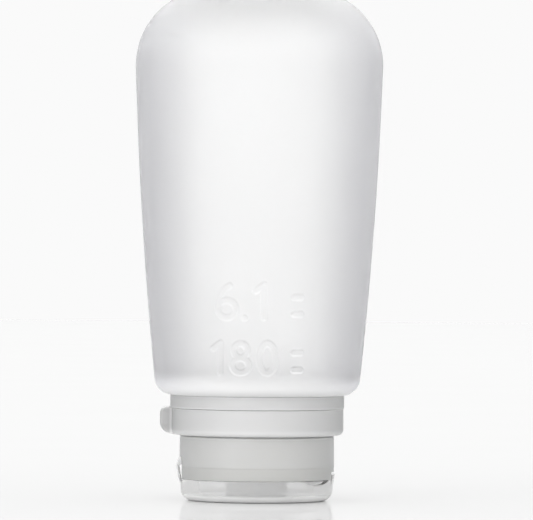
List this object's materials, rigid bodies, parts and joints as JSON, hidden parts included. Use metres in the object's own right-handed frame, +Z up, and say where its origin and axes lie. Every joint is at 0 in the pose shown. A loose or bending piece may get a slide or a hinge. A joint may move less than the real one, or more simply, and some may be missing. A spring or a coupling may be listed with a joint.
{
  "type": "silicone travel bottle",
  "caption": "Squeezable silicone travel bottle standing on its hinged flip lid, with a threaded collar, turning marker ring, screw cap and slit valve.",
  "frame": {"origin": "middle of the flip lid's outer face, on which the bottle stands", "axes": "+Z up the bottle's axis towards its base, +X towards the lid's tongue, -X towards the lid's hinge"},
  "size_m": [0.0588, 0.0588, 0.1214],
  "materials": {
    "frosted_silicone": "frosted, translucent",
    "collar_plastic": "frosted, translucent",
    "ring_plastic": "frosted, translucent",
    "cap_plastic": "natural, translucent",
    "valve_silicone": "smooth, translucent",
    "clip_plastic": "natural, translucent",
    "strap_plastic": "natural, translucent",
    "clear_lid": "clear, polished"
  },
  "bodies": {
    "bottle": {"bottle_body": "frosted_silicone", "neck_collar": "collar_plastic"},
    "ring": {"marker_ring": "ring_plastic"},
    "clip": {"valve_retainer": "clip_plastic"},
    "cap": {"screw_cap": "cap_plastic", "slit_valve": "valve_silicone", "hinge_strap": "strap_plastic"},
    "lid": {"flip_lid": "clear_lid"}
  },
  "joints": [
    {"name": "ring_turn", "type": "hinge", "parent": "bottle", "child": "ring", "pos_m": [0, 0, 0.0187], "axis": [0, 0, 1], "continuous": true},
    {"name": "cap_lift", "type": "slide", "parent": "bottle", "child": "clip", "axis": [0, 0, -1], "range_m": [0, 0.0045]},
    {"name": "cap_turn", "type": "hinge", "parent": "clip", "child": "cap", "pos_m": [0, 0, 0.01], "axis": [0, 0, -1], "range_deg": [0, 540]},
    {"name": "lid_flip", "type": "hinge", "parent": "cap", "child": "lid", "pos_m": [-0.0189, 0, 0.0053], "axis": [0, 1, 0], "range_deg": [0, 165], "deforming": ["hinge_strap"]}
  ],
  "couplings": [
    {"joint": "cap_lift", "follows": "cap_turn", "m_per_rad": 0.00047746}
  ]
}
